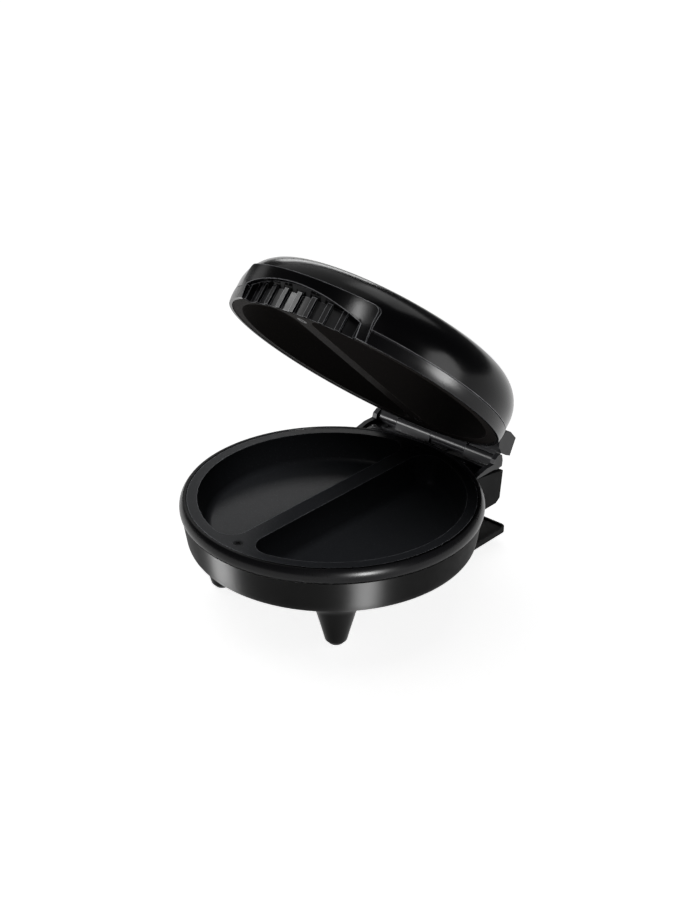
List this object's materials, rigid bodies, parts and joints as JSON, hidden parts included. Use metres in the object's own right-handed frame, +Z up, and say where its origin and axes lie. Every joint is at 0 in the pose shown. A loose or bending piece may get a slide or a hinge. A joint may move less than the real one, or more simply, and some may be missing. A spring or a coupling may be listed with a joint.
{
  "type": "electric omelette maker",
  "caption": "Countertop omelette maker: round body on feet, half-moon wells in both plates, domed lid on a rear hinge with an arched visor over a ribbed finger grip.",
  "frame": {"origin": "on the table, in the middle of the part's outline as it stands with the lid part open", "axes": "+X to the right of a person at the front, +Y towards the hinge at the rear, +Z up"},
  "size_m": [0.22, 0.2484, 0.2505],
  "materials": {
    "housing_black": "satin black moulded plastic",
    "trim_black": "satin black moulded plastic",
    "lid_black": "glossy black moulded plastic",
    "grip_black": "satin black moulded plastic, ribbed",
    "hinge_grey": "satin dark grey moulded plastic",
    "foot_black": "satin black moulded plastic",
    "nonstick_lower": "cast aluminium with dark non-stick coating",
    "nonstick_upper": "cast aluminium with dark non-stick coating",
    "screw_steel": "zinc plated steel",
    "pin_steel": "ground steel",
    "element_steel": "oxidised steel tube",
    "reflector_aluminium": "bright aluminium sheet",
    "thermostat_black": "matt phenolic",
    "fuse_cream": "unglazed ceramic sleeve",
    "terminal_cream": "unglazed ceramic",
    "wire_silicone": "silicone insulation",
    "rubber_black": "soft black rubber"
  },
  "bodies": {
    "base": {"lower_housing": "housing_black", "trim_ring": "trim_black", "lower_cooking_plate": "nonstick_lower", "lower_plate_screws": "screw_steel", "lower_heating_element": "element_steel", "lower_reflector": "reflector_aluminium", "lower_reflector_screws": "screw_steel", "thermostat": "thermostat_black", "thermal_fuse": "fuse_cream", "terminal_block": "terminal_cream", "lower_wiring": "wire_silicone", "cord_gland": "rubber_black", "hinge_bracket": "hinge_grey", "hinge_bracket_screws": "screw_steel", "hinge_pin": "pin_steel", "front_left_foot": "foot_black", "front_right_foot": "foot_black", "front_foot_screws": "screw_steel", "front_left_pad": "rubber_black", "front_right_pad": "rubber_black", "rear_stand": "housing_black", "rear_stand_screws": "screw_steel", "rear_left_pad": "rubber_black", "rear_right_pad": "rubber_black"},
    "lid": {"lid_shell": "lid_black", "lid_lip_ring": "trim_black", "finger_grip": "grip_black", "upper_cooking_plate": "nonstick_upper", "upper_plate_screws": "screw_steel", "upper_heating_element": "element_steel", "upper_reflector": "reflector_aluminium", "upper_reflector_screws": "screw_steel", "upper_wiring": "wire_silicone", "lid_hinge_block": "hinge_grey", "lid_hinge_screws": "screw_steel"}
  },
  "joints": [
    {"name": "lid_hinge", "type": "hinge", "parent": "base", "child": "lid", "pos_m": [0, 0.10478, 0.0742], "axis": [-1, 0, 0], "range_deg": [-43.5, 56.5]}
  ]
}
